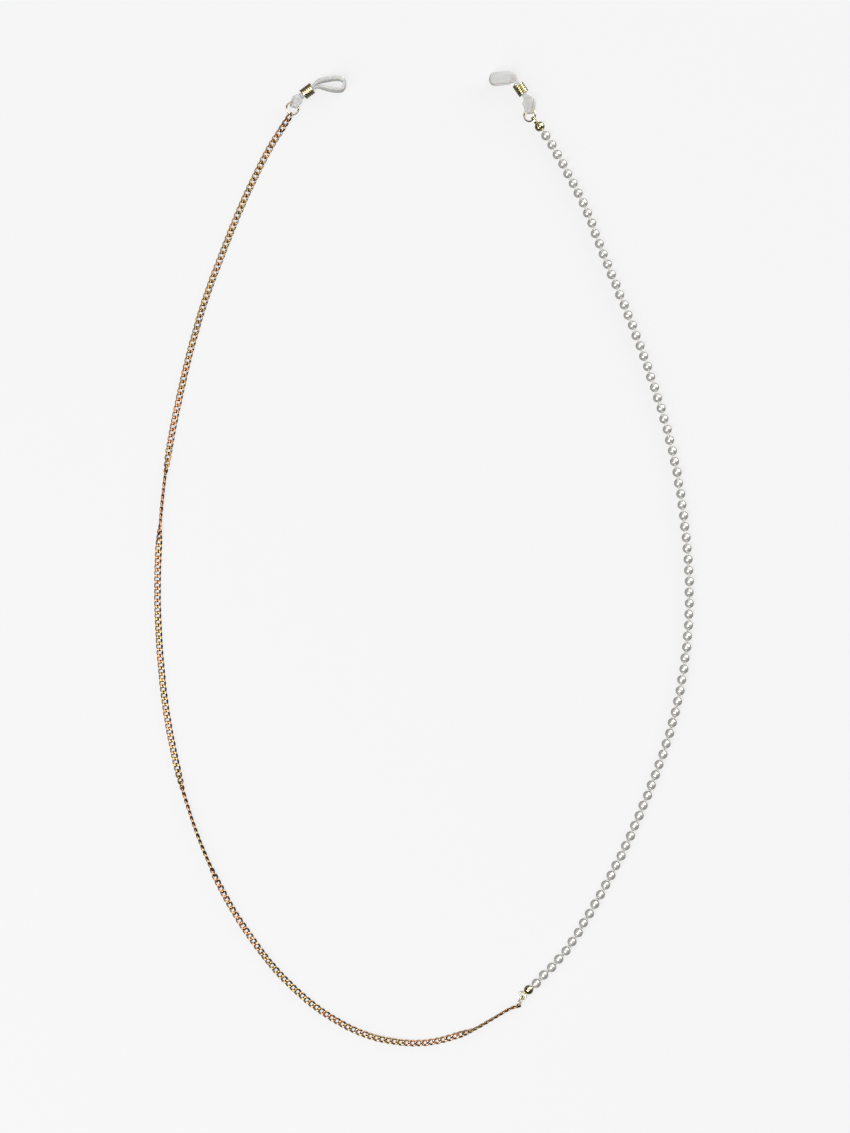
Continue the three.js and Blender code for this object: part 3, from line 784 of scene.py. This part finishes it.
def band_surface(end):
    """The soft strip carried round its closed loop, then bent and twisted along the axis."""
    steps, sides = 260, 24
    loop = band_loop(end)
    vertices = []
    for i in range(steps):
        middle, tangent = loop.place(i / steps), loop.place(i / steps, slope=True)
        width, thickness = band_section(end, middle.x)
        for k in range(sides):
            out, side = strip_corner(STRIP_SQUARENESS, math.tau * (k + 0.5) / sides)
            out *= thickness / 2
            x = middle.x - out * tangent.y
            side *= width / 2 * nose_share(end, x)
            across = middle.y + out * tangent.x
            centre, heading, twist = band_frame(end, x)
            level = across * math.sin(twist) + side * math.cos(twist)
            over = across * math.cos(twist) - side * math.sin(twist)
            vertices.append(centre + Vector((-level * math.sin(heading), level * math.cos(heading), over)))
    return vertices, grid_faces(steps, sides, True)


def coil_surface():
    """A close coil of wire about the X axis."""
    per_turn = 40
    steps = round(COIL_TURNS * per_turn)
    points = []
    for i in range(steps + 1):
        turn = i / per_turn
        angle = math.tau * turn
        along = (turn - COIL_TURNS / 2) * COIL_PITCH
        points.append(Vector((along, COIL_RADIUS * math.cos(angle), COIL_RADIUS * math.sin(angle))))
    return wire(points, COIL_WIRE / 2, 14)


def build_end(name, end, silicone, metal):
    x, y = end["place"]
    place = Matrix.Translation((x, y, 0)) @ Matrix.Rotation(math.radians(end["heading"]), 4, "Z")
    band = Shape()
    band.add(*band_surface(end), place)
    band.piece(f"silicone_band_{name}", f"{name}_temple_band", silicone, "silicone", [f"{name}_temple_band"])
    coil = Shape()
    coil.add(*coil_surface(), place @ Matrix.Translation((0, 0, COIL_HEIGHT)))
    coil.piece(f"wire_coil_{name}", f"{name}_slider_coil", metal, "pale_gold", [f"{name}_slider_coil"])


# ---------------------------------------------------------------- studio
VIEW_LENGTH = 370.5 * MM  # what the long side of the picture takes in at the table
VIEW_MIDDLE = (0.43 * MM, -2.63 * MM)
LENS = 100
SENSOR = 36


def build_camera():
    data = bpy.data.cameras.new("camera")
    data.lens = LENS
    data.sensor_width = SENSOR
    camera = bpy.data.objects.new("camera", data)
    height = VIEW_LENGTH * LENS / SENSOR + PEARL_RADIUS
    camera.location = (*VIEW_MIDDLE, height)
    bpy.context.scene.collection.objects.link(camera)
    bpy.context.scene.camera = camera


FLOOR_HALF = 3.0
FLOOR_DROP = 0.06 * MM  # the floor lies just under the lowest link
FLOOR_TONE = 0.1
FLOOR_GLOW = 0.775


def seen_directly(tree):
    """1 for what the camera sees, straight or through the silicone, and 0 in reflections and shading."""
    paths = tree.nodes.new("ShaderNodeLightPath").outputs
    seen = tree.nodes.new("ShaderNodeMath")
    seen.operation = "MAXIMUM"
    tree.links.new(paths["Is Camera Ray"], seen.inputs[0])
    tree.links.new(paths["Is Transmission Ray"], seen.inputs[1])
    return seen.outputs["Value"]


def build_floor():
    """A plain pale floor. Its glow keeps shadows faint, and is seen directly or through the silicone only."""
    corners = [Vector((x, y, 0)) * FLOOR_HALF for x, y in ((-1, -1), (1, -1), (1, 1), (-1, 1))]
    mesh = bpy.data.meshes.new("floor")
    mesh.from_pydata(corners, [], [(0, 1, 2, 3)])
    look = Look("floor", Roughness=0.9, Base_Color=(FLOOR_TONE, FLOOR_TONE, FLOOR_TONE, 1),
                Specular_IOR_Level=0.0, Emission_Color=(1, 1, 1, 1))
    glow = look.node("ShaderNodeMath", operation="MULTIPLY")
    look.link(seen_directly(look.tree), glow.inputs[0])
    glow.inputs[1].default_value = FLOOR_GLOW
    look.link(glow.outputs["Value"], look.shader.inputs["Emission Strength"])
    mesh.materials.append(look.material)
    floor = bpy.data.objects.new("floor", mesh)
    floor.location.z = -FLOOR_DROP
    bpy.context.scene.collection.objects.link(floor)


def build_softbox(name, place, size, power, reflected=True):
    data = bpy.data.lights.new(name, "AREA")
    data.shape = "RECTANGLE"
    data.size, data.size_y = size
    data.energy = power
    light = bpy.data.objects.new(name, data)
    light.location = place
    light.rotation_euler = (-Vector(place)).to_track_quat("-Z", "Y").to_euler()
    light.visible_glossy = reflected
    bpy.context.scene.collection.objects.link(light)


BACKDROP = (0.86, 0.86, 0.86, 1)  # what the camera sees beyond the floor
SKY_MIDDLE = (0.1, 0.58, 0.81)  # the way to the brightest part of the ceiling
SKY = ((0.3, 0.01), (0.8, 0.14), (0.93, 1.3))  # (how near that part, brightness)


def build_world():
    world = bpy.data.worlds.new("studio")
    world.use_nodes = True
    tree = world.node_tree
    ramp = tree.nodes.new("ShaderNodeValToRGB")
    ramp.color_ramp.elements.new(0.5)
    for element, (nearness, tone) in zip(ramp.color_ramp.elements, SKY):
        element.position = nearness
        element.color = (tone, tone, tone, 1)
    near = tree.nodes.new("ShaderNodeVectorMath")
    near.operation = "DOT_PRODUCT"
    near.inputs[1].default_value = SKY_MIDDLE
    tree.links.new(tree.nodes.new("ShaderNodeTexCoord").outputs["Generated"], near.inputs[0])
    tree.links.new(near.outputs["Value"], ramp.inputs["Fac"])
    shown = tree.nodes.new("ShaderNodeMix")
    shown.data_type = "RGBA"
    shown.inputs["B"].default_value = BACKDROP
    tree.links.new(seen_directly(tree), shown.inputs["Factor"])
    tree.links.new(ramp.outputs["Color"], shown.inputs["A"])
    tree.links.new(shown.outputs["Result"], tree.nodes["Background"].inputs["Color"])
    bpy.context.scene.world = world


def build_studio():
    build_camera()
    build_floor()
    build_world()
    build_softbox("softbox_low_right", (0.95, 0.95, 0.36), (1.2, 0.9), 20)
    build_softbox("softbox_fill_left", (-1.1, -0.9, 0.8), (1.3, 1.0), 15, reflected=False)
    build_softbox("softbox_high_left", (-0.38, -0.38, 1.15), (0.55, 0.65), 13)
    bpy.context.scene.view_settings.view_transform = "Standard"


# ---------------------------------------------------------------- the strap
def build_strap():
    antique = gold("antique_gold", (0.5, 0.26, 0.14), (0.39, 0.26, 0.11), (0.1, 0.05, 0.03))
    pale = gold("pale_gold", (0.93, 0.72, 0.48), (0.88, 0.8, 0.48), (0.3, 0.22, 0.1))
    silicone = soft_silicone()
    build_chain(antique)
    build_pearls(pearl_coat(), silk_thread())
    build_rings(pale)
    build_bead_tip("lower", Euler((0, 0, LOWER_TIP_HEADING)), pale)
    upper_pitch = upper_tip_pitch(middle_of("upper_crimp_bead"))
    build_bead_tip("upper", Euler((UPPER_TIP_ROLL, -upper_pitch, UPPER_TIP_HEADING)), pale)
    for name, end in ENDS.items():
        build_end(name, end, silicone, pale)


build_studio()
build_strap()
